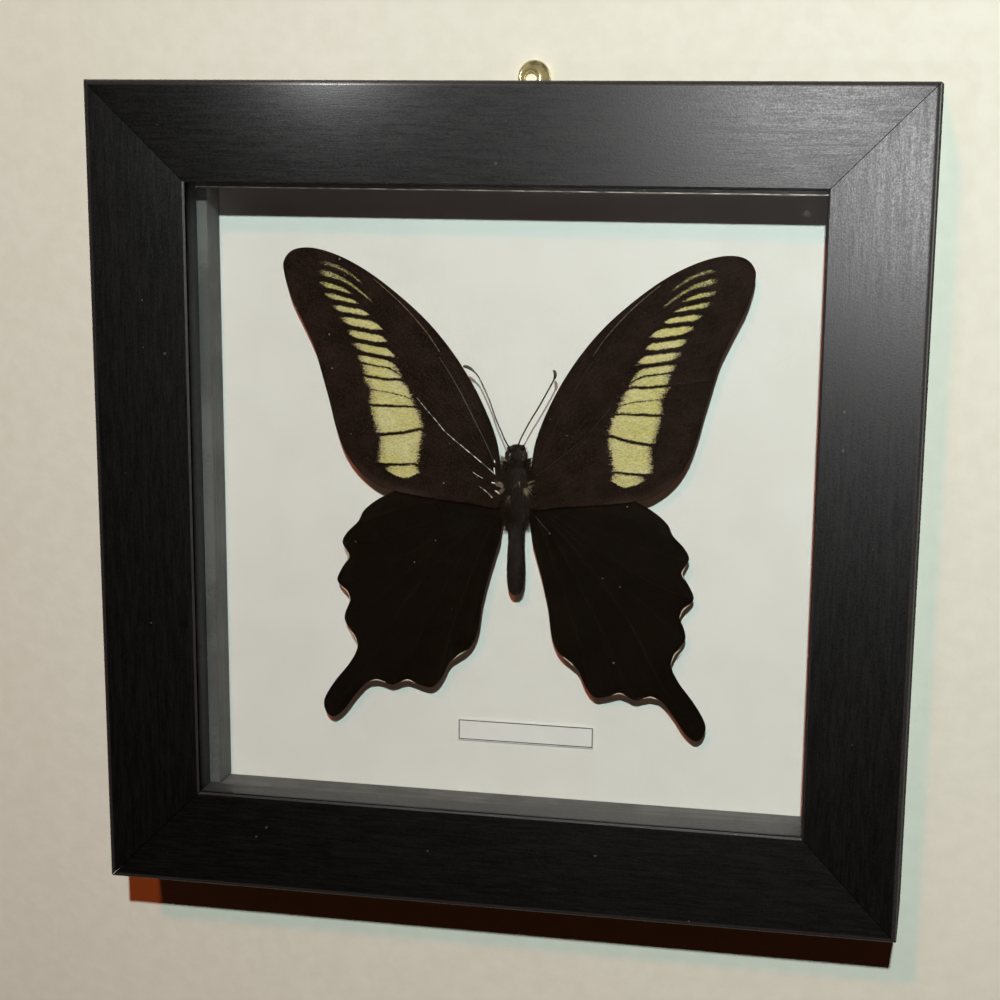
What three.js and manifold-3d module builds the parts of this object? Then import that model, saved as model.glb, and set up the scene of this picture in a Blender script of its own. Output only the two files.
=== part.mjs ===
// A swallowtail butterfly set on white card in a small black shadow-box frame.
// Millimetres, +Z up. The glass faces -Y and the wall is on the +Y side.
// The origin is the middle of the underside of the whole thing.

import * as THREE from 'three';
import Module from 'manifold-3d';
import { mergeVertices } from 'three/addons/utils/BufferGeometryUtils.js';

const wasm = await Module();
wasm.setup();

// ---- driving dimensions -------------------------------------------------

// The frame. Depths are measured back from the front edge of the moulding.
const frameSize = 180;
const frameDepth = 26.4;
const mouldingWidth = 21.4;
const faceFall = 2.6; // the face slopes back this much from its outer to its inner edge
const outerRound = 1;
const innerChamfer = 0.5;
const lipDepth = 10;
const rabbetWidth = 6.5; // how far the rabbet is cut back behind the lip
const mitreGap = 0.2;

// What lies in the rabbet, from the front to the back.
const fitGap = 0.3; // room between two pieces that touch
const paneClearance = 0.4; // round the edges of a sheet in the rabbet
const glassThickness = 2;
const spacerDepth = 7.9;
const spacerWidth = 4.9;
const insertOpening = 136.7; // inside the four spacers
const insertShiftX = 1.5; // the spacers sit a little off centre in the rabbet
const insertShiftZ = -1;
const cardThickness = 1.3;
const backThickness = 2.5;

// Retaining tabs pushed into the rabbet wall behind the back board.
const tabWidth = 8;
const tabThickness = 0.5;
const tabInWood = 2.5;
const tabOnBoard = 6.5;

// The brass hanging eye on the back of the top rail, and its two screws.
const eyeX = 3;
const eyeRise = 1.1; // the eye's centre above the top of the frame
const eyeOuterRadius = 3.6;
const eyeWireRadius = 0.82;
const eyePlateWidth = 16;
const eyePlateHeight = 6.6;
const eyePlateThickness = 0.8;
const eyePlateDrop = 7.2; // the plate's centre below the top of the frame
const eyeNeckWidth = 3.6;
const screwSpacing = 10;
const screwShankRadius = 0.8;
const screwHeadRadius = 1.7;
const screwHeadHeight = 0.5;
const screwLength = 7;
const screwSlotWidth = 0.4;
const screwSlotDepth = 0.25;

// The paper label on the card.
const labelWidth = 31.6;
const labelHeight = 5;
const labelThickness = 0.2;
const labelX = 4.2;
const labelZ = 35.6;

// The butterfly. Wing outlines are given from the middle of its thorax.
const thoraxX = 2.5;
const thoraxZ = 91.5;
const bodyDepth = 16;
const bodyFlatness = 0.93; // front to back, against its width
const forewingDepth = 14.9;
const hindwingDepth = 15.7;
const wingThickness = 0.4;
const leftSpread = 1.02; // the left wings are drawn out a little wider than the right
const rightSpread = 0.98;
const antennaRadius = 0.3;
const clubRadius = 0.55;
const clubLength = 2.6;
const antennaDepth = 14;
const padWidth = 4.5;
const padHeight = 8;

// ---- what follows from them ---------------------------------------------

const half = frameSize / 2;
const eyeStandOff = fitGap + 2 * eyeWireRadius;
const frontY = -(frameDepth + eyeStandOff) / 2;
const atDepth = (depth) => frontY + depth;

const rabbetInset = mouldingWidth - rabbetWidth;
const sheetSize = frameSize - 2 * rabbetInset - 2 * paneClearance;
const glassDepth = lipDepth + fitGap;
const spacerFront = glassDepth + glassThickness + fitGap;
const cardDepth = spacerFront + spacerDepth + fitGap;
const backDepth = cardDepth + cardThickness + fitGap;
const tabDepth = backDepth + backThickness + fitGap;
const eyeCentreDepth = frameDepth + fitGap + eyeWireRadius;
const eyePlateFront = frameDepth + fitGap;

// ---- materials ----------------------------------------------------------

const material = (color, roughness, metalness = 0) =>
  new THREE.MeshStandardMaterial({ color, roughness, metalness });

const blackPaint = material('#141416', 0.42);
const clearGlass = material('#e8eeee', 0.03);
clearGlass.transparent = true;
clearGlass.opacity = 0.35;
const greyStrip = material('#4c4d50', 0.7);
const whiteCard = material('#dedfe0', 0.85);
const labelPaper = material('#e6e5e0', 0.8);
const hardboard = material('#6b4d34', 0.75);
const tinnedSteel = material('#b9bbbc', 0.35, 1);
const brass = material('#b08a45', 0.28, 1);
const darkScales = material('#1d1512', 0.7);
const darkHair = material('#1a1411', 0.8);
const cork = material('#b08d63', 0.9);

// ---- helpers ------------------------------------------------------------

const specimen = new THREE.Group();

function addMesh(name, geometry, itsMaterial, x = 0, y = 0, z = 0) {
  const mesh = new THREE.Mesh(geometry, itsMaterial);
  mesh.name = name;
  mesh.position.set(x, y, z);
  specimen.add(mesh);
  return mesh;
}

// A solid for cutting and joining, from a closed three.js geometry.
function solidOf(geometry) {
  const bare = geometry.clone();
  bare.deleteAttribute('normal');
  bare.deleteAttribute('uv');
  const merged = mergeVertices(bare, 1e-4);
  return new wasm.Manifold(
    new wasm.Mesh({
      numProp: 3,
      vertProperties: new Float32Array(merged.attributes.position.array),
      triVerts: new Uint32Array(merged.index.array),
    }),
  );
}

function geometryOf(solid) {
  const mesh = solid.getMesh();
  const geometry = new THREE.BufferGeometry();
  geometry.setAttribute('position', new THREE.BufferAttribute(mesh.vertProperties, 3));
  geometry.setIndex(new THREE.BufferAttribute(mesh.triVerts, 1));
  geometry.computeVertexNormals();
  return geometry;
}

// A box given by its size and its middle.
const boxAt = (sx, sy, sz, x, y, z) => new THREE.BoxGeometry(sx, sy, sz).translate(x, y, z);

// A flat plate: an outline in X and Z, made solid towards +Y.
function plateOf(shape, thickness, curveSegments = 6) {
  const geometry = new THREE.ExtrudeGeometry(shape, {
    depth: thickness,
    bevelEnabled: false,
    curveSegments,
  });
  return geometry.rotateX(Math.PI / 2).translate(0, thickness, 0);
}

// ---- frame --------------------------------------------------------------

// The moulding's section: x is the distance in from the outer edge, y the depth.
function mouldingSection() {
  const section = new THREE.Shape();
  const innerEdge = mouldingWidth - innerChamfer;
  section.moveTo(0, frameDepth);
  section.lineTo(0, outerRound);
  section.absarc(outerRound, outerRound, outerRound, Math.PI, 1.5 * Math.PI, false);
  section.lineTo(innerEdge, (faceFall * innerEdge) / mouldingWidth);
  section.lineTo(mouldingWidth, faceFall + innerChamfer);
  section.lineTo(mouldingWidth, lipDepth);
  section.lineTo(rabbetInset, lipDepth);
  section.lineTo(rabbetInset, frameDepth);
  section.closePath();
  return section;
}

// A rail lying along the bottom, about the frame's centre, with both ends mitred.
function railGeometry() {
  const geometry = new THREE.ExtrudeGeometry(mouldingSection(), {
    depth: 1,
    bevelEnabled: false,
    curveSegments: 4,
  });
  const position = geometry.attributes.position;
  for (let i = 0; i < position.count; i += 1) {
    const inset = position.getX(i);
    const depth = position.getY(i);
    const side = position.getZ(i) > 0.5 ? -1 : 1;
    position.setXYZ(i, side * (half - inset - mitreGap / 2), atDepth(depth), inset - half);
  }
  return geometry;
}

function tabSlot() {
  const slotHeight = tabInWood + fitGap + 1;
  return boxAt(
    tabWidth + 2 * fitGap,
    tabThickness + 2 * fitGap,
    slotHeight,
    0,
    atDepth(tabDepth + tabThickness / 2),
    rabbetInset - half + 1 - slotHeight / 2,
  );
}

// The top rail is turned by half a turn, so the screw holes are on its own +X side mirrored.
function screwHole(offset) {
  const hole = new THREE.CylinderGeometry(
    screwShankRadius + fitGap,
    screwShankRadius + fitGap,
    screwLength + fitGap + 2,
    12,
  );
  const middle = frameDepth - screwLength / 2 - fitGap / 2 + 1;
  return hole.translate(-(eyeX + offset), atDepth(middle), eyePlateDrop - half);
}

function addRails() {
  const turns = { rail_bottom: 0, rail_left: 1, rail_top: 2, rail_right: 3 };
  for (const [name, quarter] of Object.entries(turns)) {
    let rail = solidOf(railGeometry()).subtract(solidOf(tabSlot()));
    if (name === 'rail_top') {
      for (const offset of [-screwSpacing / 2, screwSpacing / 2]) {
        rail = rail.subtract(solidOf(screwHole(offset)));
      }
    }
    const mesh = addMesh(name, geometryOf(rail), blackPaint, 0, 0, half);
    mesh.rotation.y = (quarter * Math.PI) / 2;
  }
}

// ---- glass, spacers, card and back --------------------------------------

function addSheet(name, depth, thickness, itsMaterial) {
  const sheet = new THREE.BoxGeometry(sheetSize, thickness, sheetSize);
  addMesh(name, sheet, itsMaterial, 0, atDepth(depth + thickness / 2), half);
}

function addSpacers() {
  const y = atDepth(spacerFront + spacerDepth / 2);
  const centreZ = half + insertShiftZ;
  const middle = (insertOpening + spacerWidth) / 2;
  const long = insertOpening + 2 * spacerWidth;
  const short = insertOpening - 2 * fitGap;
  const across = new THREE.BoxGeometry(long, spacerDepth, spacerWidth);
  const upright = new THREE.BoxGeometry(spacerWidth, spacerDepth, short);
  addMesh('spacer_top', across, greyStrip, insertShiftX, y, centreZ + middle);
  addMesh('spacer_bottom', across, greyStrip, insertShiftX, y, centreZ - middle);
  addMesh('spacer_left', upright, greyStrip, insertShiftX - middle, y, centreZ);
  addMesh('spacer_right', upright, greyStrip, insertShiftX + middle, y, centreZ);
}

function addTabs() {
  const length = tabInWood + tabOnBoard;
  const reach = half - rabbetInset + tabInWood - length / 2;
  const y = atDepth(tabDepth + tabThickness / 2);
  const upright = new THREE.BoxGeometry(tabWidth, tabThickness, length);
  const across = new THREE.BoxGeometry(length, tabThickness, tabWidth);
  addMesh('tab_top', upright, tinnedSteel, 0, y, half + reach);
  addMesh('tab_bottom', upright, tinnedSteel, 0, y, half - reach);
  addMesh('tab_left', across, tinnedSteel, -reach, y, half);
  addMesh('tab_right', across, tinnedSteel, reach, y, half);
}

// ---- hanging eye --------------------------------------------------------

// A plate with round ends, its middle at the origin.
function roundedBar(width, height) {
  const end = height / 2;
  const straight = width / 2 - end;
  const bar = new THREE.Shape();
  bar.moveTo(-straight, -end);
  bar.lineTo(straight, -end);
  bar.absarc(straight, 0, end, -Math.PI / 2, Math.PI / 2, false);
  bar.lineTo(-straight, end);
  bar.absarc(-straight, 0, end, Math.PI / 2, 1.5 * Math.PI, false);
  for (const x of [-screwSpacing / 2, screwSpacing / 2]) {
    const hole = new THREE.Path();
    hole.absarc(x, 0, screwShankRadius + fitGap, 0, 2 * Math.PI, true);
    bar.holes.push(hole);
  }
  return bar;
}

function addHangingEye() {
  const ring = new THREE.TorusGeometry(eyeOuterRadius - eyeWireRadius, eyeWireRadius, 12, 32);
  ring.rotateX(Math.PI / 2);
  ring.translate(eyeX, atDepth(eyeCentreDepth), frameSize + eyeRise);

  const plateZ = frameSize - eyePlateDrop;
  const plate = plateOf(roundedBar(eyePlateWidth, eyePlateHeight), eyePlateThickness);
  plate.translate(eyeX, atDepth(eyePlateFront), plateZ);

  const neckBottom = plateZ + eyePlateHeight / 2 - 1;
  const neckTop = frameSize + eyeRise - eyeOuterRadius + eyeWireRadius;
  const neck = boxAt(
    eyeNeckWidth,
    eyePlateThickness,
    neckTop - neckBottom,
    eyeX,
    atDepth(eyePlateFront + eyePlateThickness / 2),
    (neckTop + neckBottom) / 2,
  );
  const eye = solidOf(ring).add(solidOf(plate)).add(solidOf(neck));
  addMesh('hanging_eye', geometryOf(eye), brass);
}

function screwGeometry() {
  const headBase = screwLength;
  const profile = [
    [0, 0],
    [screwShankRadius * 0.5, 0.6],
    [screwShankRadius, 1.8],
    [screwShankRadius, headBase],
    [screwHeadRadius, headBase],
    [screwHeadRadius * 0.8, headBase + screwHeadHeight],
    [0, headBase + screwHeadHeight],
  ].map(([r, h]) => new THREE.Vector2(r, h));
  const blank = new THREE.LatheGeometry(profile, 20);
  const slot = boxAt(
    3 * screwHeadRadius,
    screwSlotDepth * 2,
    screwSlotWidth,
    0,
    headBase + screwHeadHeight,
    0,
  );
  return geometryOf(solidOf(blank).subtract(solidOf(slot)));
}

function addScrews() {
  const tipDepth = eyePlateFront + eyePlateThickness + fitGap - screwLength;
  const z = frameSize - eyePlateDrop;
  for (const [side, offset] of [['left', -screwSpacing / 2], ['right', screwSpacing / 2]]) {
    addMesh(`eye_screw_${side}`, screwGeometry(), brass, eyeX + offset, atDepth(tipDepth), z);
  }
}

// ---- butterfly ----------------------------------------------------------

// Wing outlines of the right-hand side: x out from the body's axis, y up from the thorax.
const forewingEdge = [
  [3.5, 6], [4.2, 11.5], [6.3, 17.5], [9.5, 24], [14, 31], [19.5, 37.5], [26, 43.3],
  [32.5, 48], [39, 51.3], [45, 53], [49.5, 52.6], [51.8, 50.2], [51.7, 47], [50.3, 42.3],
  [47.5, 36.5], [45, 31], [43.3, 25], [41.8, 19.5], [40.4, 14], [38.6, 9], [36, 5],
  [32.5, 2], [28.5, 0.2], [20, -1.2], [10, -2.2], [3.5, -2.5],
];
const hindwingEdge = [
  [3.5, 0], [14, 3], [23, 1.5], [27.2, -0.2], [31.4, -2.5], [34.3, -5], [35.6, -7.5],
  [38.2, -10.2], [39.3, -12.6], [38, -15.6], [39.8, -19], [40.6, -21.4], [39, -23.3],
  [37.6, -25.4], [38.8, -28.8], [38.8, -31], [36.6, -34.2], [36, -36.8], [37.8, -40.5],
  [41.5, -45.3], [44, -49.7], [43.6, -52.6], [41.8, -53.7], [39.3, -51.8], [36.6, -48],
  [33.8, -44.9], [31.2, -44.2], [28, -45.1], [24.6, -43.7], [21.8, -44.6], [18.8, -45],
  [16.6, -42.8], [14.6, -38.8], [11.3, -36.4], [9.5, -34.2], [8.3, -30.8], [7.5, -25],
  [6.1, -18.8], [4.4, -12.8], [3.5, -9],
];

function addWing(name, edge, side, depth) {
  const spread = side * (side < 0 ? leftSpread : rightSpread);
  const outline = new THREE.Shape();
  outline.moveTo(side * edge[0][0], edge[0][1]);
  outline.splineThru(edge.slice(1).map(([x, z]) => new THREE.Vector2(rooted(x, side, spread), z)));
  outline.closePath();
  const points = outline.getPoints(2).map((point) => new THREE.Vector2(point.x, point.y));
  const wing = plateOf(new THREE.Shape(points), wingThickness);
  addMesh(name, wing, darkScales, thoraxX, atDepth(depth), thoraxZ);
}

// The wing's root stays put beside the thorax however far the wing is spread.
function rooted(x, side, spread) {
  const rootX = forewingEdge[0][0];
  return side * rootX + (x - rootX) * spread;
}

// Radii of the body up its axis, from the tip of the abdomen to the front of the head.
const bodyProfile = [
  [0, -22.8], [1.1, -22.2], [1.7, -20.8], [2.05, -17.5], [1.95, -14], [1.8, -10], [1.8, -6.5],
  [2.4, -4.8], [3, -1.5], [3.05, 1.5], [2.8, 4], [2, 5.8], [2.3, 7], [2.6, 8.6],
  [2.2, 10.3], [1.2, 11.1], [0, 11.3],
];

function addBody() {
  const profile = bodyProfile.map(([r, h]) => new THREE.Vector2(r, h));
  const body = new THREE.LatheGeometry(profile, 20);
  body.rotateX(Math.PI / 2);
  body.scale(1, bodyFlatness, 1);
  addMesh('butterfly_body', body, darkHair, thoraxX, atDepth(bodyDepth), thoraxZ);
}

// Antenna routes from the head to the tip, from the middle of the thorax.
const antennaRoutes = {
  antenna_left: [[-1.5, 11.6], [-3.7, 15.6], [-5.8, 20.5], [-7.6, 24.2], [-9.3, 26.8], [-11.6, 28.2]],
  antenna_right: [[1, 11.6], [2.6, 15.2], [5, 20.2], [6.9, 23.6], [8.1, 26.3], [8.3, 28]],
};

function addAntenna(name, route) {
  const path = new THREE.CatmullRomCurve3(route.map(([x, z]) => new THREE.Vector3(x, 0, z)));
  const section = new THREE.Shape();
  section.absarc(0, 0, antennaRadius, 0, 2 * Math.PI, false);
  const stalk = new THREE.ExtrudeGeometry(section, {
    steps: 16,
    extrudePath: path,
    curveSegments: 4,
  });
  const tip = path.getPoint(1);
  const heading = path.getTangent(1);
  const club = new THREE.SphereGeometry(1, 10, 8).scale(clubRadius, clubLength / 2, clubRadius);
  club.applyQuaternion(
    new THREE.Quaternion().setFromUnitVectors(new THREE.Vector3(0, 1, 0), heading),
  );
  club.translate(tip.x, tip.y, tip.z);
  const antenna = solidOf(stalk).add(solidOf(club));
  addMesh(name, geometryOf(antenna), darkHair, thoraxX, atDepth(antennaDepth), thoraxZ);
}

function addMountingPad() {
  const front = bodyDepth + bodyProfile[9][0] * bodyFlatness + fitGap;
  const thickness = cardDepth - fitGap - front;
  const pad = new THREE.BoxGeometry(padWidth, thickness, padHeight);
  addMesh('mounting_pad', pad, cork, thoraxX, atDepth(front + thickness / 2), thoraxZ);
}

function addLabel() {
  const label = new THREE.BoxGeometry(labelWidth, labelThickness, labelHeight);
  const y = atDepth(cardDepth - fitGap - labelThickness / 2);
  addMesh('specimen_label', label, labelPaper, labelX, y, labelZ);
}

// ---- assembly -----------------------------------------------------------

addRails();
addSheet('glass_pane', glassDepth, glassThickness, clearGlass);
addSpacers();
addSheet('backing_card', cardDepth, cardThickness, whiteCard);
addSheet('back_board', backDepth, backThickness, hardboard);
addTabs();
addHangingEye();
addScrews();
addWing('forewing_left', forewingEdge, -1, forewingDepth);
addWing('forewing_right', forewingEdge, 1, forewingDepth);
addWing('hindwing_left', hindwingEdge, -1, hindwingDepth);
addWing('hindwing_right', hindwingEdge, 1, hindwingDepth);
addBody();
for (const [name, route] of Object.entries(antennaRoutes)) {
  addAntenna(name, route);
}
addMountingPad();
addLabel();

export default specimen;
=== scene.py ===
import math
import random

import bmesh
import bpy
import numpy as np
from mathutils import Matrix, Vector, geometry, kdtree, noise


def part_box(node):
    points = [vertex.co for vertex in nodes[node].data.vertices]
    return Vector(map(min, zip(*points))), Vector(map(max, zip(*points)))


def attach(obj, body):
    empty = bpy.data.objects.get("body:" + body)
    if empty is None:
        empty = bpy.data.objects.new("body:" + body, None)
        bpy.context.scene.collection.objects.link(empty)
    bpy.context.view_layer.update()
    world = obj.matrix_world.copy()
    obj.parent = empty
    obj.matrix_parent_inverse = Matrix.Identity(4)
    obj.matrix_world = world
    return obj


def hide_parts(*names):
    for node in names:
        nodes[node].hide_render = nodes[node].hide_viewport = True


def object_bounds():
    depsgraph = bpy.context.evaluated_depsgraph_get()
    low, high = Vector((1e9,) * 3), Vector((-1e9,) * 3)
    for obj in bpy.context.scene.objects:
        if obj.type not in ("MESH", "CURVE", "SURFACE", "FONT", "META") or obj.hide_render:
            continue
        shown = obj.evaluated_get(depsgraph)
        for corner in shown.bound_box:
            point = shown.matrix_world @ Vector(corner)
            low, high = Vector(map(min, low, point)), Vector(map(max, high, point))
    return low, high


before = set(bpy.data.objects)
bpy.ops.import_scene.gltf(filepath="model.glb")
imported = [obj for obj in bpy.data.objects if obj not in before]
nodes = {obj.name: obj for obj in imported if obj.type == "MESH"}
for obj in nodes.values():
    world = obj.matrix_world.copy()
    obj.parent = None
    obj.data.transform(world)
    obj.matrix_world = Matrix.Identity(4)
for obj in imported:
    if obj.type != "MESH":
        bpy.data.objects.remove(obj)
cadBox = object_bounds()
print("loaded", len(nodes), "frame nodes")

mm = 0.001
random.seed(7)
scene = bpy.context.scene


cameraPlan = {
    "place": (96.2, -452.97, 172.36),  # mm
    "turn": (76.739, -0.365, 12.583),  # degrees
    "lens": 76.6,
    "shift": (0.015, 0.12),
}

cameraData = bpy.data.cameras.new("camera")
cameraData.lens = cameraPlan["lens"]
cameraData.sensor_width = 36
cameraData.shift_x, cameraData.shift_y = cameraPlan["shift"]
cameraData.clip_start = 0.01
camera = bpy.data.objects.new("camera", cameraData)
camera.location = Vector(cameraPlan["place"]) * mm
camera.rotation_euler = [math.radians(a) for a in cameraPlan["turn"]]
scene.collection.objects.link(camera)
scene.camera = camera


def finishPiece(name, bm, materials, smooth=True):
    mesh = bpy.data.meshes.new(name)
    bm.to_mesh(mesh)
    bm.free()
    for material in materials:
        mesh.materials.append(material)
    mesh.polygons.foreach_set("use_smooth", [smooth] * len(mesh.polygons))
    piece = bpy.data.objects.new(name, mesh)
    scene.collection.objects.link(piece)
    return piece


def standFor(piece, slot, *replaced):
    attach(piece, "root")
    if replaced:
        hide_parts(*replaced)


def smoothLine(points, steps, closed=False):
    # a curve through the points, with its handles taken from their neighbours
    points = [Vector(p) for p in points]
    count = len(points)
    line = []
    for i in range(count if closed else count - 1):
        if closed:
            before, start, end, after = (points[(i + k) % count] for k in (-1, 0, 1, 2))
        else:
            before, after = points[max(i - 1, 0)], points[min(i + 2, count - 1)]
            start, end = points[i], points[i + 1]
        firstHandle = start + (end - before) / 6
        lastHandle = end - (after - start) / 6
        line += geometry.interpolate_bezier(start, firstHandle, lastHandle, end, steps + 1)[:-1]
    return line if closed else line + [points[-1]]


def liftFaces(bm, faces, distance):
    # a copy of the faces, joined to them by walls, moved along Y
    grown = bmesh.ops.extrude_face_region(bm, geom=list(faces))["geom"]
    lifted = [g for g in grown if isinstance(g, bmesh.types.BMVert)]
    bmesh.ops.translate(bm, verts=lifted, vec=(0, distance, 0))


def paintFaces(made, materialIndex):
    for face in {f for v in made["verts"] for f in v.link_faces}:
        face.material_index = materialIndex


def addTube(bm, line, radii, sides=8, materialIndex=0):
    # rings square to the line, bridged one to the next, with both ends closed
    facesBefore = set(bm.faces)
    previous = None
    for i, point in enumerate(line):
        heading = line[min(i + 1, len(line) - 1)] - line[max(i - 1, 0)]
        turn = heading.to_track_quat("Z", "Y").to_matrix().to_4x4()
        isEnd = i in (0, len(line) - 1)
        made = bmesh.ops.create_circle(
            bm, cap_ends=isEnd, segments=sides, radius=max(radii[i], 1e-6),
            matrix=Matrix.Translation(point) @ turn)
        ring = {e for v in made["verts"] for e in v.link_edges}
        if previous:
            bmesh.ops.bridge_loops(bm, edges=list(previous | ring))
        previous = ring
    newFaces = [f for f in bm.faces if f not in facesBefore]
    bmesh.ops.recalc_face_normals(bm, faces=newFaces)
    for face in newFaces:
        face.material_index = materialIndex


def feed(node, **inputs):
    # each input by its name, or by its number after "in", from a socket or a plain value
    for key, value in inputs.items():
        numbered = key.startswith("in") and key[2:].isdigit()
        socket = node.inputs[int(key[2:]) if numbered else key.replace("_", " ")]
        if isinstance(value, bpy.types.NodeSocket):
            node.id_data.links.new(value, socket)
        else:
            socket.default_value = value


def put(tree, kind, settings=None, **inputs):
    node = tree.nodes.new("ShaderNode" + kind)
    for key, value in (settings or {}).items():
        setattr(node, key, value)
    feed(node, **inputs)
    return node


def calc(operation, a, b=0.0, c=0.0):
    tree = next(v.id_data for v in (a, b, c) if isinstance(v, bpy.types.NodeSocket))
    return put(tree, "Math", {"operation": operation}, in0=a, in1=b, in2=c).outputs[0]


def times(a, b):
    return calc("MULTIPLY", a, b)


def plus(a, b):
    return calc("ADD", a, b)


def minus(a, b):
    return calc("SUBTRACT", a, b)


def larger(a, b):
    return calc("MAXIMUM", a, b)


def isBelow(a, b):
    return calc("LESS_THAN", a, b)


def timesPlus(a, b, c):
    return calc("MULTIPLY_ADD", a, b, c)


def ramp(value, low, high, toLow=0.0, toHigh=1.0):
    return put(value.id_data, "MapRange", {"interpolation_type": "SMOOTHSTEP"},
               Value=value, in1=low, in2=high, in3=toLow, in4=toHigh).outputs[0]


def blend(factor, a, b):
    return put(factor.id_data, "Mix", {"data_type": "RGBA"}, in0=factor, in6=a, in7=b).outputs[2]


def noiseOf(vector, scale, detail=3.0, rough=0.55):
    made = put(vector.id_data, "TexNoise", Vector=vector, Scale=scale, Detail=detail, Roughness=rough)
    return made.outputs["Fac"]


def stretched(vector, scale):
    return put(vector.id_data, "Mapping", Vector=vector, Scale=scale).outputs[0]


def split(vector):
    return put(vector.id_data, "SeparateXYZ", Vector=vector).outputs


def attribute(tree, name):
    return put(tree, "Attribute", {"attribute_name": name}).outputs["Fac"]


def colour(r, g, b):
    return (r, g, b, 1.0)


def newMaterial(name):
    material = bpy.data.materials.new(name)
    material.use_nodes = True
    tree = material.node_tree
    tree.nodes.clear()
    surface = put(tree, "BsdfPrincipled")
    output = put(tree, "OutputMaterial", Surface=surface.outputs[0])
    place = put(tree, "TexCoord").outputs["Object"]
    return material, tree, surface, output, place


def mixInto(output, share, first, second):
    mixed = put(output.id_data, "MixShader", Fac=share, in1=first.outputs[0], in2=second.outputs[0])
    feed(output, Surface=mixed.outputs[0])


def thinShadow(surface, output, tint):
    # a little light comes through into the shadow of the piece
    tree = surface.id_data
    path = put(tree, "LightPath")
    through = put(tree, "BsdfTransparent", Color=tint)
    mixInto(output, path.outputs["Is Shadow Ray"], surface, through)


def bumpInto(surface, height, strength, distance):
    made = put(surface.id_data, "Bump", Height=height, Strength=strength, Distance=distance)
    feed(surface, Normal=made.outputs[0])


def newGroup(name, inputs, outputs):
    # a group that takes a vector and these numbers, and gives these numbers
    tree = bpy.data.node_groups.new(name, "ShaderNodeTree")
    tree.interface.new_socket("Vector", in_out="INPUT", socket_type="NodeSocketVector")
    for label, value in inputs.items():
        socket = tree.interface.new_socket(label, in_out="INPUT", socket_type="NodeSocketFloat")
        socket.default_value = value
    for label in outputs:
        tree.interface.new_socket(label, in_out="OUTPUT", socket_type="NodeSocketFloat")
    given = tree.nodes.new("NodeGroupInput").outputs
    return tree, given, tree.nodes.new("NodeGroupOutput")


def useGroup(group, **inputs):
    return put(inputs["Vector"].id_data, "Group", {"node_tree": group}, **inputs).outputs


def makeDust():
    # scattered round specks, each with its own size
    tree, given, out = newGroup("dustSpecks", {"Scale": 300.0, "Share": 0.1, "Size": 0.2}, ["Mask"])
    cells = put(tree, "TexVoronoi", Vector=given["Vector"], Scale=given["Scale"]).outputs
    tone = put(tree, "SeparateColor", Color=cells["Color"]).outputs
    chosen = isBelow(tone[0], given["Share"])
    near = isBelow(cells["Distance"], times(tone[1], given["Size"]))
    feed(out, Mask=times(chosen, near))
    return tree


def makeRaggedEdge():
    # a field that is positive inside, cut with a broken edge
    settings = {"Field": 0.0, "Coarse": 900.0, "Fine": 5000.0, "Reach": 0.3, "Blur": 0.05}
    tree, given, out = newGroup("raggedEdge", settings, ["Mask"])
    coarse = noiseOf(given["Vector"], given["Coarse"], 2.0)
    fine = noiseOf(given["Vector"], given["Fine"], 1.0)
    both = plus(minus(coarse, 0.5), minus(fine, 0.5))
    moved = timesPlus(both, given["Reach"], given["Field"])
    feed(out, Mask=ramp(moved, times(given["Blur"], -1.0), given["Blur"]))
    return tree


def makeStreaks():
    # fine brushed lines along one direction of an already stretched vector
    tree, given, out = newGroup("brushedStreaks", {"Scale": 1.0}, ["Tone", "Height"])
    broad = noiseOf(given["Vector"], given["Scale"], 2.0)
    fine = noiseOf(given["Vector"], times(given["Scale"], 3.7), 2.0, 0.7)
    feed(out, Tone=plus(times(broad, 0.55), times(fine, 0.45)), Height=fine)
    return tree


def makeFibre():
    # short crossing fibres, as in paper and board
    tree, given, out = newGroup("paperFibre", {"Scale": 2500.0}, ["Tone", "Height"])
    across, upright = (noiseOf(stretched(given["Vector"], scale), given["Scale"], 2.0)
                       for scale in ((1.0, 1.0, 0.2), (0.2, 1.0, 1.0)))
    height = larger(across, upright)
    cloud = noiseOf(given["Vector"], times(given["Scale"], 0.03))
    feed(out, Tone=plus(times(height, 0.4), times(cloud, 0.6)), Height=height)
    return tree


dustSpecks = makeDust()
raggedEdge = makeRaggedEdge()
brushedStreaks = makeStreaks()
paperFibre = makeFibre()
print("made the shared effects")


paintLook = {
    "black": colour(0.0008, 0.0008, 0.0007),
    "rubbed": colour(0.0030, 0.0030, 0.0027),
    "dust": colour(0.09, 0.09, 0.085),
    "roughness": (0.43, 0.57),
    "streakAcross": 1500.0,
    "streakAlong": 120.0,
    "grainDepth": 0.000026,
    "rubbedEdge": colour(0.026, 0.0225, 0.0222),
    "sideGloss": 0.2,
    "railWidth": 21.4, "bevel": 1.0, "chamfer": 0.5,  # mm
}


def makeInsetZones():
    # how far in from the outer edge of the frame, and which part of the rail that is
    tree, given, out = newGroup("railZones", {}, ["Side", "Bevel", "Chamfer", "Lip"])
    half = 90 * mm
    parts = split(given["Vector"])
    inset = minus(half, larger(calc("ABSOLUTE", parts[0]), calc("ABSOLUTE", minus(parts[2], half))))
    bevel, width, chamfer = (paintLook[k] * mm for k in ("bevel", "railWidth", "chamfer"))
    side = ramp(inset, 0.03 * mm, 0.1 * mm, 1.0, 0.0)
    lip = ramp(inset, width - 0.12 * mm, width - 0.04 * mm)
    onBevel = times(ramp(inset, bevel * 0.9, bevel * 1.25, 1.0, 0.0), minus(1.0, side))
    onChamfer = times(ramp(inset, width - chamfer * 1.15, width - chamfer * 0.9), minus(1.0, lip))
    feed(out, Side=side, Bevel=onBevel, Chamfer=onChamfer, Lip=lip)
    return tree


railZones = makeInsetZones()


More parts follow.
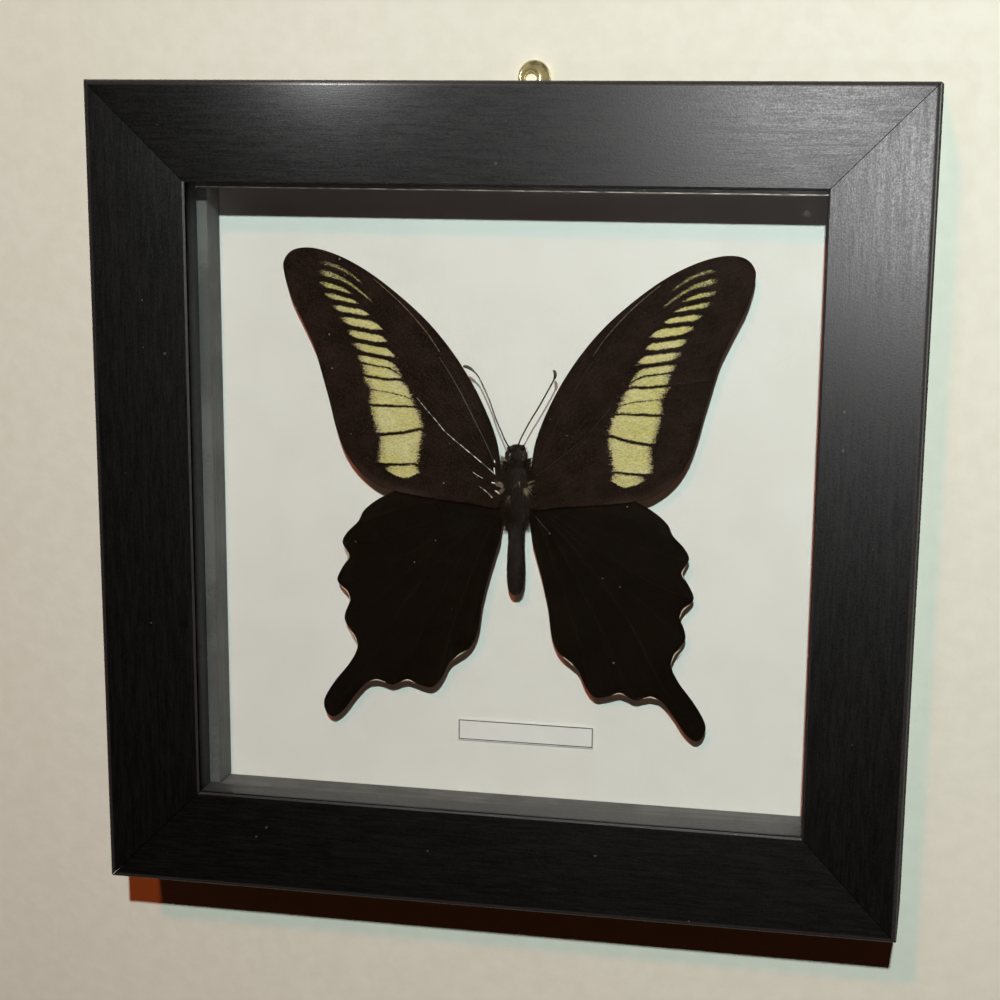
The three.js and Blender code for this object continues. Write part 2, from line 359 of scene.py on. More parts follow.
def makeFramePaint(name, alongZ, lipGloss, lipShade):
    material, tree, surface, output, place = newMaterial(name)
    look = paintLook
    zones = useGroup(railZones, Vector=place)
    along, across = look["streakAlong"], look["streakAcross"]
    scale = (across, across, along) if alongZ else (along, across, across)
    streaks = useGroup(brushedStreaks, Vector=stretched(place, scale), Scale=1.0)
    mottle = noiseOf(place, 2600.0, 2.0, 0.7)
    base = blend(ramp(streaks["Tone"], 0.38, 0.64), look["black"], look["rubbed"])
    dust = useGroup(dustSpecks, Vector=place, Scale=420.0, Share=0.07, Size=0.16)
    base = blend(times(dust["Mask"], 0.5), base, look["dust"])
    # painted highlight and reflection: the outer bevel and the inner chamfer are painted lighter, mottled in
    # strength
    paintedEdgeLight = times(zones["Bevel"], ramp(mottle, 0.2, 0.7, 0.6, 1.0))
    paintedEdgeLight = larger(paintedEdgeLight, times(zones["Chamfer"], 0.8))
    base = blend(paintedEdgeLight, base, look["rubbedEdge"])
    # the lip is darkest just behind its front edge
    shaded = times(ramp(split(place)[1], -11.0 * mm, (lipShade - 11.0) * mm, 1.0, 0.0), zones["Lip"])
    rough = ramp(plus(times(streaks["Tone"], 0.5), times(mottle, 0.5)), 0.35, 0.65, *look["roughness"])
    rough = larger(rough, times(zones["Side"], 0.9))
    bumpInto(surface, plus(streaks["Height"], mottle), 0.8, look["grainDepth"])
    # the outer sides are matt, and the lip has a gloss of its own
    gloss = timesPlus(zones["Side"], look["sideGloss"] - 1.0, 1.0)
    onLip = timesPlus(zones["Lip"], lipGloss - 1.0, 1.0)
    onLip = times(onLip, minus(1.0, shaded))
    feed(surface, Base_Color=base, Roughness=rough, Specular_IOR_Level=times(times(gloss, onLip), 0.5))
    return material


paintAcross = makeFramePaint("framePaintAcross", False, 1.3, 1.6)
paintUpright = makeFramePaint("framePaintUpright", True, 0.32, 4.5)


glassSmear = {"middle": (64.0, -3.87, 153.6), "reach": 2.3, "scale": 2600.0}  # mm, spots a metre


def makeGlass():
    material, tree, surface, output, place = newMaterial("clearGlass")
    feed(surface, Base_Color=colour(0.985, 0.99, 0.988), Roughness=0.0, IOR=1.5, Transmission_Weight=1.0)
    bumpInto(surface, noiseOf(place, 45.0, 1.0), 0.02, 0.0001)
    # a smear of dried specks near one corner
    reach = glassSmear["reach"] * mm
    off = put(tree, "VectorMath", {"operation": "DISTANCE"}, in0=place,
              in1=Vector(glassSmear["middle"]) * mm).outputs["Value"]
    spots = noiseOf(place, glassSmear["scale"], 2.0, 0.6)
    spotted = ramp(plus(spots, ramp(off, reach * 0.2, reach, 0.3, 0.0)), 0.8, 0.92, 0.0, 0.34)
    spotted = times(spotted, isBelow(off, reach))
    dried = put(tree, "BsdfDiffuse", Color=colour(0.62, 0.62, 0.58))
    dirty = put(tree, "MixShader", Fac=spotted, in1=surface.outputs[0], in2=dried.outputs[0])
    # light goes straight through to what is behind
    path = put(tree, "LightPath").outputs
    clear = put(tree, "BsdfTransparent", Color=colour(0.96, 0.97, 0.965))
    mixInto(output, larger(path["Is Shadow Ray"], path["Is Diffuse Ray"]), dirty, clear)
    return material


def makeBoardFinish(name, pale, dark, scale, contrast, roughness, depth, layers=0.0, paleEdge=None):
    material, tree, surface, output, place = newMaterial(name)
    fibre = useGroup(paperFibre, Vector=place, Scale=scale)
    base = blend(ramp(fibre["Tone"], 0.5 - contrast, 0.5 + contrast), dark, pale)
    if layers:
        # the plies of the board show along its cut edge
        ply = noiseOf(stretched(place, (30.0, layers, 30.0)), 1.0, 2.0)
        base = blend(ramp(ply, 0.42, 0.62, 0.0, 0.6), base, dark)
    dust = useGroup(dustSpecks, Vector=place, Scale=260.0, Share=0.05, Size=0.09)
    base = blend(times(dust["Mask"], 0.25), base, dark)
    if paleEdge:
        # the facing paper shows as a shiny pale line along the lower front edge
        low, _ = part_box(paleEdge)
        _, depthOf, heightOf = split(place)
        corner = times(isBelow(heightOf, low.z + 0.2 * mm), isBelow(depthOf, low.y + 0.25 * mm))
        broken = ramp(noiseOf(stretched(place, (500.0, 1.0, 1.0)), 1.0), 0.3, 0.6, 0.35, 1.0)
        line = times(corner, broken)
        base = blend(line, base, colour(0.75, 0.72, 0.6))
        feed(surface, Metallic=times(line, 0.35))
    feed(surface, Base_Color=base, Roughness=roughness, Specular_IOR_Level=0.25)
    bumpInto(surface, fibre["Height"], 0.35, depth)
    return material


glass = makeGlass()
whiteCard = makeBoardFinish("whiteCard", colour(0.80, 0.80, 0.775), colour(0.765, 0.76, 0.73),
                            2600.0, 0.12, 0.85, 0.00003)
greyBoard = makeBoardFinish("greySpacerBoard", colour(0.13, 0.13, 0.128), colour(0.075, 0.074, 0.072),
                            3200.0, 0.1, 0.8, 0.00004, 1400.0)
# the top spacer is painted darker than the other spacers, as painted shade under the top rail
shadedBoard = makeBoardFinish("topSpacerBoard", colour(0.07, 0.068, 0.066), colour(0.04, 0.039, 0.037),
                              3200.0, 0.1, 0.7, 0.00004, 1400.0, "spacer_top")
hardboard = makeBoardFinish("hardboard", colour(0.26, 0.15, 0.075), colour(0.13, 0.07, 0.033),
                            1500.0, 0.24, 0.7, 0.00009)
cork = makeBoardFinish("cork", colour(0.5, 0.32, 0.17), colour(0.2, 0.1, 0.045),
                       900.0, 0.1, 0.9, 0.0002)


def makeMetal(name, bright, dull, roughness, tarnish, lacquer=0.0, rim=0.0):
    material, tree, surface, output, place = newMaterial(name)
    streaks = useGroup(brushedStreaks, Vector=stretched(place, (2600.0, 2600.0, 500.0)), Scale=1.0)
    patches = ramp(noiseOf(place, 420.0, 4.0), 0.45, 0.7, 0.0, tarnish)
    base = blend(patches, bright, dull)
    # painted shade: the colour darkens towards the outline, where the surface turns away from view
    if rim:
        facing = put(tree, "LayerWeight", Blend=0.5).outputs["Facing"]
        base = blend(ramp(facing, 0.3, 0.72, 0.0, rim), base, dull)
    rough = timesPlus(patches, 0.25, timesPlus(streaks["Tone"], 0.16, roughness - 0.08))
    feed(surface, Base_Color=base, Metallic=1.0 - lacquer, Roughness=rough)
    bumpInto(surface, streaks["Height"], 0.3, 0.00001)
    return material


brass = makeMetal("agedBrass", colour(0.84, 0.72, 0.36), colour(0.07, 0.045, 0.02), 0.17, 0.8, 0.3, 0.9)
tinnedSteel = makeMetal("tinnedSteel", colour(0.62, 0.62, 0.6), colour(0.26, 0.23, 0.2), 0.34, 0.6)

nodeFinish = {"glass_pane": glass, "backing_card": whiteCard, "back_board": hardboard, "mounting_pad": cork,
              "spacer_top": shadedBoard, "eye_screw_left": brass, "eye_screw_right": brass}
for side in ("top", "bottom", "left", "right"):
    nodeFinish["rail_" + side] = paintAcross if side in ("top", "bottom") else paintUpright
    nodeFinish.setdefault("spacer_" + side, greyBoard)
    nodeFinish["tab_" + side] = tinnedSteel
for name, finish in nodeFinish.items():
    nodes[name].data.materials.clear()
    nodes[name].data.materials.append(finish)
print("finished the frame, glass, card and back")


labelPlan = {"edge": 0.25, "line": 0.32, "raised": 0.012}  # mm


def makeInk():
    material, tree, surface, output, place = newMaterial("labelInk")
    worn = ramp(noiseOf(place, 3000.0, 2.0), 0.45, 0.75, 0.0, 0.45)
    base = blend(worn, colour(0.02, 0.02, 0.023), colour(0.075, 0.065, 0.08))
    feed(surface, Base_Color=base, Roughness=0.55)
    return material


labelPaper = makeBoardFinish("labelPaper", colour(0.80, 0.80, 0.79), colour(0.765, 0.765, 0.75),
                             3400.0, 0.12, 0.8, 0.00002)


def makeLabel():
    low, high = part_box("specimen_label")
    bm = bmesh.new()
    bmesh.ops.create_cube(bm, size=1.0)
    bmesh.ops.scale(bm, verts=bm.verts, vec=high - low)
    bmesh.ops.translate(bm, verts=bm.verts, vec=(low + high) / 2)
    front = min(bm.faces, key=lambda f: f.calc_center_median().y)
    bmesh.ops.inset_individual(bm, faces=[front], thickness=labelPlan["edge"] * mm)
    border = bmesh.ops.inset_individual(bm, faces=[front], thickness=labelPlan["line"] * mm)["faces"]
    for face in border:
        face.material_index = 1
    liftFaces(bm, border, -labelPlan["raised"] * mm)
    bmesh.ops.delete(bm, geom=[f for f in border if f.is_valid], context="FACES_ONLY")
    return finishPiece("specimen_label_paper", bm, [labelPaper, makeInk()], smooth=False)


standFor(makeLabel(), "label_paper", "specimen_label")
print("made the label")


eyePlan = {
    "outer": 3.6, "hole": 1.25, "holeShift": -0.7,  # the hole sits towards one side
    "ringSegments": 72, "ringSides": 20,
    "plate": (16.0, 6.6, 0.8), "plateDrop": 7.2, "neck": 3.6,
    "plateRound": 0.18, "neckRound": 0.12, "rise": 1.1,
}


def addEyeRing(bm, centre, thickness):
    # an oval section carried round, fatter where the hole is further from the rim
    plan = eyePlan
    count = plan["ringSegments"]
    loops = []
    for i in range(count):
        angle = 2 * math.pi * i / count
        outward = Vector((math.cos(angle), 0, math.sin(angle)))
        outer = outward * plan["outer"]
        inner = outward * plan["hole"] + Vector((plan["holeShift"], 0, 0))
        middle = centre + (outer + inner) / 2 * mm
        back = Vector((0, 1, 0))
        turn = Matrix((outward, back, outward.cross(back))).transposed().to_4x4()
        size = Matrix.Diagonal(((outer - inner).length / 2 * mm, thickness / 2, 1, 1))
        made = bmesh.ops.create_circle(bm, cap_ends=False, segments=plan["ringSides"], radius=1.0,
                                       matrix=Matrix.Translation(middle) @ turn @ size)
        loops.append({e for v in made["verts"] for e in v.link_edges})
    for i in range(count):
        bmesh.ops.bridge_loops(bm, edges=list(loops[i] | loops[(i + 1) % count]))


def roundEdges(bm, edges, radius, steps):
    bmesh.ops.bevel(bm, geom=edges, affect="EDGES", offset=radius, segments=steps, profile=0.5, material=-1)


def addEyePlate(bm, plateMiddle):
    # a circle pulled apart into a plate with round ends, then thickened
    width, height, thickness = (s * mm for s in eyePlan["plate"])
    start = len(bm.verts)
    made = bmesh.ops.create_circle(bm, cap_ends=True, segments=48, radius=height / 2,
                                   matrix=Matrix.Rotation(math.pi / 2, 4, "X"))
    for v in made["verts"]:
        v.co.x += math.copysign(width / 2 - height / 2, v.co.x) if abs(v.co.x) > 1e-7 else 0
    liftFaces(bm, {f for v in made["verts"] for f in v.link_faces}, thickness)
    bm.verts.ensure_lookup_table()
    plateVerts = bm.verts[start:]
    bmesh.ops.translate(bm, verts=plateVerts, vec=plateMiddle - Vector((0, thickness / 2, 0)))
    rims = [e for e in {e for v in plateVerts for e in v.link_edges}
            if abs(e.verts[0].co.y - e.verts[1].co.y) < 1e-7]
    roundEdges(bm, rims, eyePlan["plateRound"] * mm, 3)


def makeHangingEye():
    low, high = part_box("hanging_eye")
    thickness = high.y - low.y
    across = (low.x + high.x) / 2
    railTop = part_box("rail_top")[1].z
    centre = Vector((across, (low.y + high.y) / 2, railTop + eyePlan["rise"] * mm))
    plateThickness = eyePlan["plate"][2] * mm
    plateMiddle = Vector((across, low.y + plateThickness / 2, railTop - eyePlan["plateDrop"] * mm))
    bm = bmesh.new()
    addEyeRing(bm, centre, thickness)
    bmesh.ops.recalc_face_normals(bm, faces=bm.faces)
    addEyePlate(bm, plateMiddle)
    neckTop = centre.z - (eyePlan["outer"] - 0.8) * mm
    neckBottom = plateMiddle.z + eyePlan["plate"][1] * mm / 2 - 0.6 * mm
    neck = bmesh.ops.create_cube(bm, size=1.0)["verts"]
    bmesh.ops.scale(bm, verts=neck, vec=(eyePlan["neck"] * mm, plateThickness * 0.98, neckTop - neckBottom))
    bmesh.ops.translate(bm, verts=neck, vec=(across, plateMiddle.y, (neckTop + neckBottom) / 2))
    roundEdges(bm, list({e for v in neck for e in v.link_edges}), eyePlan["neckRound"] * mm, 2)
    return finishPiece("hanging_eye_brass", bm, [brass])


standFor(makeHangingEye(), "eye_brass", "hanging_eye")
print("made the hanging eye")


bodyLow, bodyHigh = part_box("butterfly_body")
tailBelow = 22.8  # mm from the middle of the thorax to the tip of the abdomen
thorax = Vector(((bodyLow.x + bodyHigh.x) / 2, (bodyLow.y + bodyHigh.y) / 2, bodyLow.z + tailBelow * mm))
rootX = 3.5  # mm from the body's axis to the wing roots
wingSpread = {"left": 1.02, "right": 0.98}
sideSign = {"left": -1, "right": 1}


# Outlines in mm, x out from the body's axis and z up from the middle of the thorax.
forewingEdge = [
    (3.5, 6), (4.2, 11.5), (6.3, 17.5), (9.5, 24), (14, 31), (19.5, 37.5), (26, 43.3),
    (32.5, 48), (39, 51.3), (45, 53), (49.5, 52.6), (51.8, 50.2), (51.7, 47), (50.3, 42.3),
    (47.5, 36.5), (45, 31), (43.3, 25), (41.8, 19.5), (40.4, 14), (38.6, 9), (36, 5),
    (32.5, 2), (28.5, 0.2), (20, -1.2), (10, -2.2), (3.5, -2.5),
]
hindwingEdge = [
    (3.5, 0), (14, 3), (23, 1.5), (27.2, -0.2), (31.4, -2.5), (34.3, -5), (35.6, -7.5),
    (38.2, -10.2), (39.3, -12.6), (38, -15.6), (39.8, -19), (40.6, -21.4), (39, -23.3),
    (37.6, -25.4), (38.8, -28.8), (38.8, -31), (36.6, -34.2), (36, -36.8), (37.8, -40.5),
    (41.5, -45.3), (44, -49.7), (43.6, -52.6), (41.8, -53.7), (39.3, -51.8), (36.6, -48),
    (33.8, -44.9), (31.2, -44.2), (28, -45.1), (24.6, -43.7), (21.8, -44.6), (18.8, -45),
    (16.6, -42.8), (14.6, -38.8), (11.3, -36.4), (9.5, -34.2), (8.3, -30.8), (7.5, -25),
    (6.1, -18.8), (4.4, -12.8), (3.5, -9),
]

# Veins from the root to the margin, the hindmost first: half width of the dark line, then its course.
forewingVeins = [
    (0.15, [(3.5, -1.8), (14, 1.5), (20, 3.9), (22, 3.7), (24, 2.85), (26.5, 3.1), (30, 4.7), (36, 6.2)]),
    (0.24, [(3.5, -1), (12, 3.2), (21, 5.9), (26, 5.9), (30, 5.8), (33, 6.2), (38.8, 8.6)]),
    (0.28, [(3.5, 0), (10, 7.5), (19.5, 13.7), (25, 13.1), (31.5, 12.5), (40.5, 14.2)]),
    (0.25, [(3.5, 0.6), (10, 9), (16, 15.6), (21.5, 18.7), (27, 18.95), (33, 19), (42, 20.5)]),
    (0.05, [(3.5, 1), (10, 10), (18, 17.6), (24, 20.9), (28.5, 21.9), (33, 22.4), (42.7, 23)]),
    (0.26, [(3.5, 1.5), (10, 11), (18, 19), (24.4, 24.3), (29, 24.8), (34.8, 25.5), (43.6, 27)]),
    (0.13, [(3.5, 2), (10, 12), (18, 20.5), (27, 26.6), (31, 27.6), (35, 28.3), (44.5, 30)]),
    (0.34, [(3.5, 2.5), (10, 13), (18, 22), (26.6, 28.6), (30, 29.6), (36.2, 30.7), (45.5, 33)]),
    (0.36, [(3.5, 3), (10, 14), (18, 23.5), (27, 31.2), (31, 32.4), (37.6, 33.6), (47, 37)]),
    (0.34, [(3.5, 3.3), (10, 15), (18, 25), (28, 33.8), (32, 35.1), (38.5, 36.4), (48.4, 40)]),
    (0.36, [(3.5, 3.6), (10, 15.8), (18, 26.3), (29.5, 36.7), (35, 38.3), (41, 39.3), (49.6, 43)]),
    (0.42, [(3.5, 4), (10, 16.6), (18, 27.6), (31.5, 39), (37, 40.8), (42.5, 41.9), (50.5, 45.2)]),
    (0.42, [(3.5, 4.4), (10, 17.5), (18, 29), (33.5, 41), (38.5, 43.1), (44.5, 44.6), (51.4, 47.5)]),
    (0.5, [(3.5, 4.8), (10, 18.4), (20, 31.5), (31, 40.1), (35.5, 43.4), (39, 45.4), (45, 46.9),
           (51.8, 49.3)]),
    (0.5, [(3.5, 5.1), (10, 19.2), (20, 32.8), (31, 41.9), (34, 44.5), (38, 47.2), (42, 48.7), (46, 49.4),
           (51, 51)]),
    (0.3, [(3.5, 5.5), (10, 20.2), (20, 34.2), (31, 44), (33.5, 45.9), (37, 48.5), (41, 50.3), (45, 50.9),
           (50, 52)]),
]

# The pale band, one patch between each vein and the next: its inner edge, its outer edge and how solid it is.
bandPatches = [
    ((21.2, 3.9), (22, 5.7), (30.2, 4.6), (29, 5.9), 0.85),
    ((21.9, 6), (20.7, 13.2), (31.3, 6.2), (30.8, 12.4), 1.0),
    ((20.6, 14), (21.7, 18.5), (31.6, 13), (33, 18.6), 1.0),
    ((22.4, 19), (23, 20.6), (33.2, 19.2), (32.9, 22.2), 1.0),
    ((22.9, 20.6), (24.6, 24.2), (32.9, 22.2), (34.7, 25.1), 1.0),
    ((25.2, 24.9), (26.2, 27), (34.3, 25.8), (34.9, 28.1), 1.0),
    ((26.2, 27), (27.4, 28.8), (35.2, 28), (36, 30.4), 1.0),
    ((26.8, 29), (26.9, 31), (35.8, 30.9), (37.6, 33.2), 1.0),
    ((29.3, 32.1), (28.1, 33.6), (37.6, 33.9), (38, 35.8), 1.0),
    ((30.6, 34.4), (29.2, 35.8), (38.8, 36.6), (40, 38.6), 0.96),
    ((32.2, 37.6), (30.8, 38.8), (40.9, 39.4), (41.3, 41), 0.9),
    ((33.6, 39.8), (33, 41.2), (43, 42.4), (43.8, 44), 0.74),
    ((35.3, 41.9), (34.3, 43.2), (44.3, 44.9), (45.2, 46.4), 0.6),
    ((31.4, 40.2), (30.6, 41.8), (44.9, 47.3), (44.8, 49), 0.42),
    ((33.6, 44.6), (32.8, 46.2), (44.9, 49.6), (44.3, 51), 0.3),
]

hindwingVeins = [
    (0.2, [(3.8, -6), (6.5, -20), (8.6, -30), (10.5, -35)]),
    (0.2, [(4.5, -5), (10, -18), (14, -30), (16, -38), (17.5, -44)]),
    (0.2, [(5, -4.5), (13, -16), (19.5, -29), (24, -38), (27.5, -44.5)]),
    (0.22, [(5.5, -4), (16, -14), (26, -27), (32.5, -39), (37.5, -46), (42.6, -53)]),
    (0.2, [(6, -3.5), (17, -12), (27, -21), (33, -26.4), (38.5, -30.5)]),
    (0.2, [(6.5, -3), (17, -9.5), (27, -16.2), (34, -19.4), (40, -21.5)]),
    (0.2, [(7, -2), (17, -6), (27, -10), (34, -12), (39, -13)]),
    (0.2, [(7, -1), (17, -2), (27, -4.6), (35.5, -8)]),
]

wingPlan = {
    "cell": 0.4,  # mm
    "thickness": 0.12,
    "ridge": 0.05,  # how far a vein stands up
    "edgeSteps": 5,
    "fieldLimit": 3.0,
    "worn": (18.0, 9.0),  # the forewing's hind edge is painted with its shadow beyond this x and below this z
}


def wingSheet(edge):
    # a flat sheet cut to the outline, then cut across both ways into small cells
    bm = bmesh.new()
    rim = [bm.verts.new((p.x, p.y, 0)) for p in smoothLine(edge, wingPlan["edgeSteps"], closed=True)]
    bm.faces.new(rim)
    cell = wingPlan["cell"]
    for axis in (0, 1):
        low = min(v.co[axis] for v in bm.verts)
        high = max(v.co[axis] for v in bm.verts)
        normal = Vector((1 - axis, axis, 0))
        for step in range(1, int((high - low) / cell) + 1):
            everything = bm.verts[:] + bm.edges[:] + bm.faces[:]
            at = normal * (low + step * cell)
            bmesh.ops.bisect_plane(bm, geom=everything, dist=1e-4, plane_co=at, plane_no=normal)
    bmesh.ops.recalc_face_normals(bm, faces=bm.faces)
    bmesh.ops.solidify(bm, geom=bm.faces[:], thickness=wingPlan["thickness"])
    sheet = bpy.data.meshes.new("wingSheet")
    bm.to_mesh(sheet)
    bm.free()
    return sheet


def offLine(points, line):
    # distance from a line, positive on its left
    nearest = np.full(len(points), 1e9)
    side = np.zeros(len(points))
    for start, end in zip(line[:-1], line[1:]):
        along = end - start
        away = points - start
        share = np.clip((away @ along) / (along @ along), 0, 1)
        off = away - share[:, None] * along
        distance = np.hypot(off[:, 0], off[:, 1])
        closer = distance < nearest
        cross = along[0] * away[:, 1] - along[1] * away[:, 0]
        side = np.where(closer, np.sign(cross), side)
        nearest = np.minimum(nearest, distance)
    return nearest * side


def asLine(points, steps=4):
    return [np.array(p) for p in smoothLine([(x, z) for x, z in points], steps)]


def veinFields(points, veins):
    # which two veins a point lies between, how far across, and how wide that space is
    offs = np.array([offLine(points, asLine(course)) for _, course in veins])
    widths = np.array([w for w, _ in veins])
    lower = np.clip((offs > 0).sum(0) - 1, 0, len(veins) - 2)
    everyPoint = np.arange(len(points))
    below = np.abs(offs[lower, everyPoint])
    above = np.abs(offs[lower + 1, everyPoint])
    gap = below + above
    share = below / np.maximum(gap, 1e-6)
    behindAll = offs[0] < 0
    beyondAll = offs[-1] > 0
    share = np.where(behindAll, 0.0, np.where(beyondAll, 1.0, share))
    across = lower + share
    nearer = np.where(share < 0.5, lower, lower + 1)
    beside = np.abs(offs).min(0)
    return {"across": across, "gap": gap, "width": widths[nearer], "beside": beside, "lower": lower,
            "outside": behindAll | beyondAll}


def bandField(points, veinPlace):
    field = np.full(len(points), -wingPlan["fieldLimit"])
    fromEnd = field.copy()
    solid = np.zeros(len(points))
    for i, (*ends, strength) in enumerate(bandPatches):
        here = (veinPlace["lower"] == i) & ~veinPlace["outside"]
        innerLow, innerHigh, outerLow, outerHigh = (np.array(end, float) for end in ends)
        fromInner = -offLine(points[here], [innerLow, innerHigh])
        fromOuter = offLine(points[here], [outerLow, outerHigh])
        field[here] = np.minimum(fromInner, fromOuter)
        fromEnd[here] = fromOuter
        solid[here] = strength
    limits = (-wingPlan["fieldLimit"], wingPlan["fieldLimit"])
    return {"bandIn": np.clip(field, *limits), "bandEnd": np.clip(fromEnd, *limits), "bandSolid": solid}


def makeWingPiece(wing, sheet, edge, veins, side, material):
    node = wing + "_" + side
    banded = wing == "forewing"
    mesh = sheet.copy()
    count = len(mesh.vertices)
    flat = np.empty(count * 3)
    mesh.vertices.foreach_get("co", flat)
    flat = flat.reshape(-1, 3)
    points = flat[:, :2].copy()
    placing = veinFields(points, veins)
    closedEdge = [np.array(p) for p in smoothLine(edge, 3, closed=True)]
    margin = np.abs(offLine(points, closedEdge + closedEdge[:1]))
    fields = {"veinAcross": placing["across"], "veinGap": placing["gap"], "veinWidth": placing["width"],
              "marginNear": np.minimum(margin, wingPlan["fieldLimit"])}
    if banded:
        fields.update(bandField(points, placing))
    shadowEdgeFrom, shadowEdgeBelow = wingPlan["worn"]
    corner = np.clip((points[:, 0] - shadowEdgeFrom) / 5, 0, 1) * np.clip((shadowEdgeBelow - points[:, 1]) / 4, 0, 1)
    fields["wornHere"] = corner if banded else np.zeros(count)
    low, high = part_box(node)
    sign, spread = sideSign[side], wingSpread[side]
    x, z = points[:, 0], points[:, 1]
    out = np.where(x > rootX, rootX + (x - rootX) * spread, x)
    # the membrane is bowed, the veins stand up a little and the margin waves
    reach = np.clip((x - rootX) / 45, 0, 1)
    bow = 0.35 * np.sin(reach * math.pi) - 0.5 * reach ** 2
    wave = np.array([noise.noise(Vector((a * 0.09 + 7 * sign, b * 0.09, 3.0))) for a, b in points])
    ridge = wingPlan["ridge"] * np.exp(-(placing["beside"] / 0.35) ** 2)
    lift = bow + 0.45 * wave * reach + ridge
    middle = (low.y + high.y) / 2
    placed = np.empty((count, 3))
    placed[:, 0] = thorax.x + sign * out * mm
    placed[:, 1] = middle - lift * mm - flat[:, 2] * mm
    placed[:, 2] = thorax.z + z * mm
    mesh.vertices.foreach_set("co", placed.ravel())
    for label, values in fields.items():
        layer = mesh.attributes.new(label, "FLOAT", "POINT")
        layer.data.foreach_set("value", values.astype(np.float32))
    bm = bmesh.new()
    bm.from_mesh(mesh)
    bpy.data.meshes.remove(mesh)
    bmesh.ops.recalc_face_normals(bm, faces=bm.faces)
    standFor(finishPiece(wing + "_membrane_" + side, bm, [material]), "wing_scales", node)


wingLook = {
    "fore": {"ground": colour(0.0135, 0.0078, 0.0062), "dark": colour(0.0028, 0.0017, 0.0013),
             "worn": colour(0.05, 0.025, 0.019), "fresh": colour(0.007, 0.0125, 0.006)},
    "hind": {"ground": colour(0.0024, 0.0017, 0.0008), "dark": colour(0.0004, 0.0003, 0.0002),
             "worn": colour(0.013, 0.0085, 0.005), "fresh": colour(0.0014, 0.0038, 0.0014)},
    # the margin colour is painted shadow, used only along the forewing's hind edge
    "margin": colour(0.06, 0.036, 0.028),
    "band": colour(0.64, 0.585, 0.22),
    "bandPale": colour(0.70, 0.65, 0.34),
    "bandSpeck": colour(0.2, 0.17, 0.07),
    "bandEnd": colour(0.42, 0.30, 0.22),
    "vein": colour(0.009, 0.0065, 0.0045),
    "dust": colour(0.5, 0.49, 0.46),
    "shadowTint": colour(0.19, 0.15, 0.13),
}


def makeWingMaterial(name, banded):
    material, tree, surface, output, place = newMaterial(name)
    look = wingLook
    ground = look["fore" if banded else "hind"]
    cloud = noiseOf(place, 190.0, 4.0)
    scales = noiseOf(place, 4200.0, 2.0, 0.7)
    motes = noiseOf(place, 1900.0, 3.0, 0.75)
    base = blend(ramp(cloud, 0.35, 0.68), ground["dark"], ground["ground"])
    base = blend(ramp(motes, 0.52, 0.66, 0.0, 0.8), base, ground["fresh"])
    base = blend(ramp(motes, 0.36, 0.48, 0.85, 0.0), base, ground["dark"])
    base = blend(ramp(scales, 0.5, 0.64, 0.0, 0.55), base, ground["worn"])
    # distance to the nearest vein, from where the point lies between two of them
    share = calc("FRACT", attribute(tree, "veinAcross"))
    toNearer = calc("MINIMUM", share, minus(1.0, share))
    beside = times(toNearer, attribute(tree, "veinGap"))
    # painted shadow: only the hind edge of the forewing is painted paler brown, as its shadow on the card
    atMargin = ramp(attribute(tree, "marginNear"), 0.1, 2.1, 1.0, 0.0)
    paintedShadowTone = times(times(atMargin, ramp(cloud, 0.2, 0.7, 0.35, 1.0)), attribute(tree, "wornHere"))
    base = blend(times(paintedShadowTone, 0.4), base, look["margin"])
    if banded:
        # the band's ends are combed into rows of scales that run out from the root
        rows = stretched(place, (0.35, 1.0, 1.5))
        bandIn = attribute(tree, "bandIn")
        ragged = useGroup(raggedEdge, Vector=rows, Field=bandIn, Coarse=1500.0, Fine=5600.0,
                          Reach=3.1, Blur=0.3)
        # towards the tip the patches are slim and taper at their ends
        upper = ramp(split(place)[2], thorax.z + 25 * mm, thorax.z + 33 * mm)
        taper = times(upper, ramp(bandIn, 0.0, 2.2, 0.42, 0.1))
        clearance = timesPlus(attribute(tree, "veinWidth"), 1.1, 0.06)
        clearOfVein = minus(beside, plus(clearance, taper))
        between = useGroup(raggedEdge, Vector=place, Field=clearOfVein, Coarse=2200.0, Fine=6500.0,
                           Reach=0.62, Blur=0.13)
        fading = ramp(attribute(tree, "bandEnd"), 0.0, 3.0, -0.6, 0.0)
        inside = plus(ramp(bandIn, -0.6, 1.1, -0.75, 0.1), fading)
        spread = times(minus(noiseOf(rows, 6500.0, 2.0, 0.8), 0.5), 3.4)
        speckle = ramp(plus(plus(attribute(tree, "bandSolid"), inside), spread), 0.3, 0.72)
        mask = times(times(ragged[0], between[0]), speckle)
        bandTone = blend(ramp(cloud, 0.3, 0.7), look["band"], look["bandPale"])
        flecks = noiseOf(rows, 4200.0, 3.0, 0.8)
        bandTone = blend(ramp(flecks, 0.42, 0.62, 0.0, 0.55), bandTone, look["bandSpeck"])
        bandTone = blend(ramp(bandIn, 0.2, 2.2, 0.3, 0.0), bandTone, look["bandEnd"])
        base = blend(mask, base, bandTone)
    else:
        veinLine = ramp(beside, 0.12, 0.4, 0.45, 0.0)
        base = blend(times(veinLine, ramp(cloud, 0.35, 0.65)), base, look["vein"])
    specks = useGroup(dustSpecks, Vector=place, Scale=330.0, Share=0.055, Size=0.11)
    fineSpecks = useGroup(dustSpecks, Vector=place, Scale=800.0, Share=0.03, Size=0.16)
    base = blend(larger(specks[0], times(fineSpecks[0], 0.5)), base, look["dust"])
    feed(surface, Base_Color=base, Roughness=ramp(scales, 0.3, 0.8, 0.62, 0.8), Specular_IOR_Level=0.02)
    height = plus(times(scales, 0.6), ramp(beside, 0.0, 0.35, 0.7, 0.0))
    bumpInto(surface, height, 0.4, 0.00006)
    thinShadow(surface, output, look["shadowTint"])
    return material


